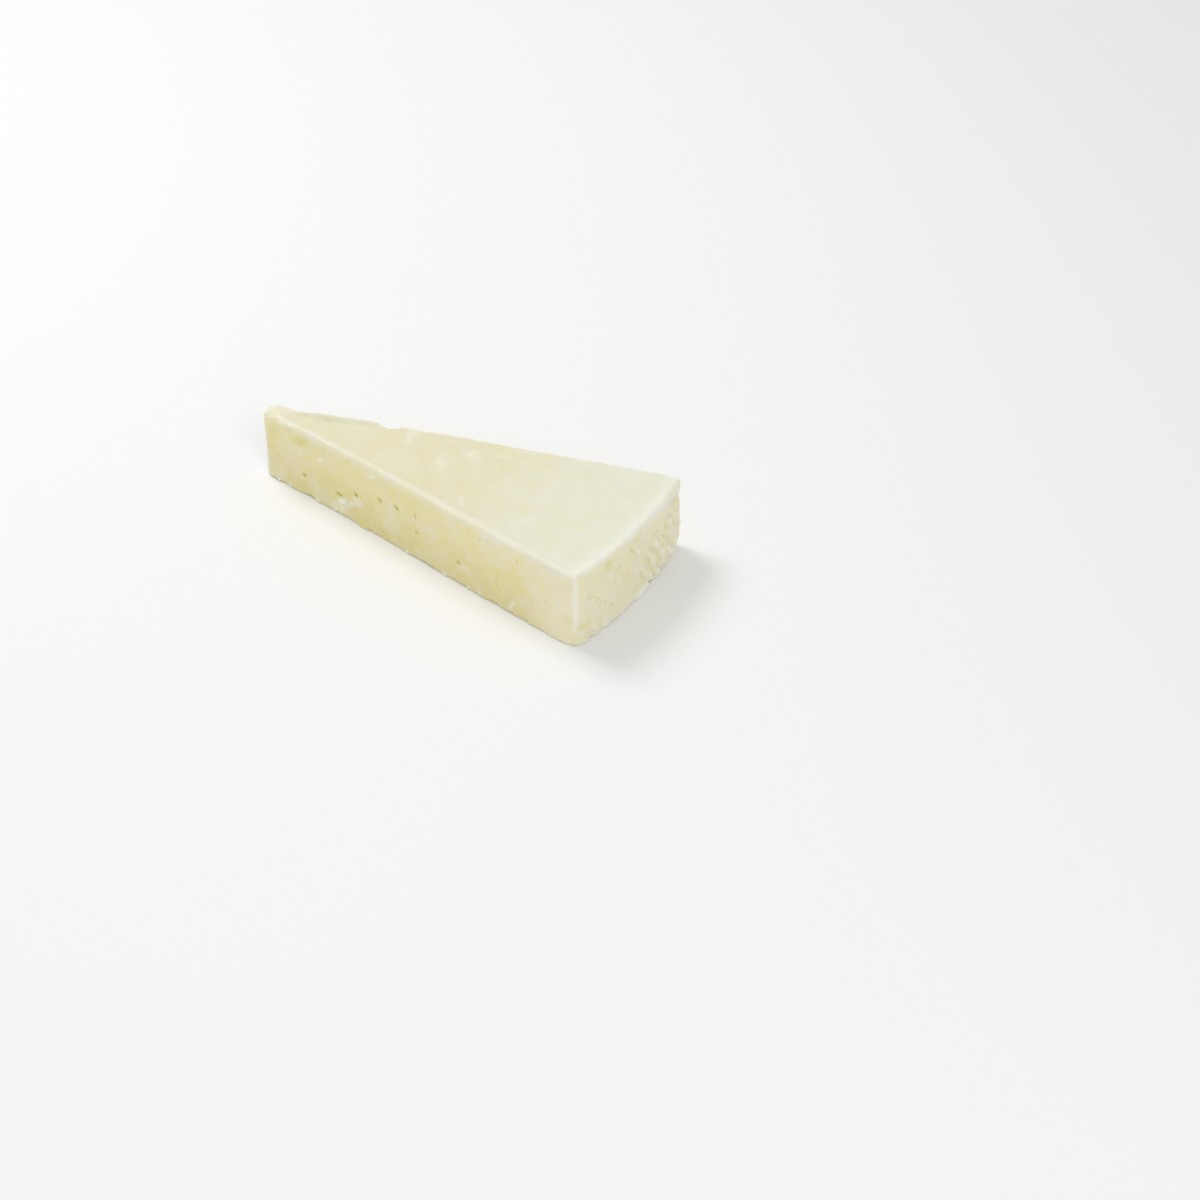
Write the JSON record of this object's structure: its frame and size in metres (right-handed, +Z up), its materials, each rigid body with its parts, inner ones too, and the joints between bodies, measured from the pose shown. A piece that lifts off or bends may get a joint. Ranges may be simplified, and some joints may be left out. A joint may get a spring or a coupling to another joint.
{
  "type": "cheese wedge",
  "caption": "Low wedge of pale hard pressed cheese, cut from a slice of a round wheel: blunt tip, flat cut faces with small eyes, lumpy curved heel. A food item to set down whole.",
  "frame": {"origin": "on the flat resting face, under the middle of the wedge's bounding box", "axes": "+X from the blunt tip to the curved heel, the wedge's length; +Y across it, from the front cut to the rear cut; +Z up from the resting face"},
  "size_m": [0.1562, 0.0694, 0.0326],
  "materials": {
    "cheese": null
  },
  "bodies": {
    "root": {"cheese_wedge": "cheese"}
  },
  "joints": []
}
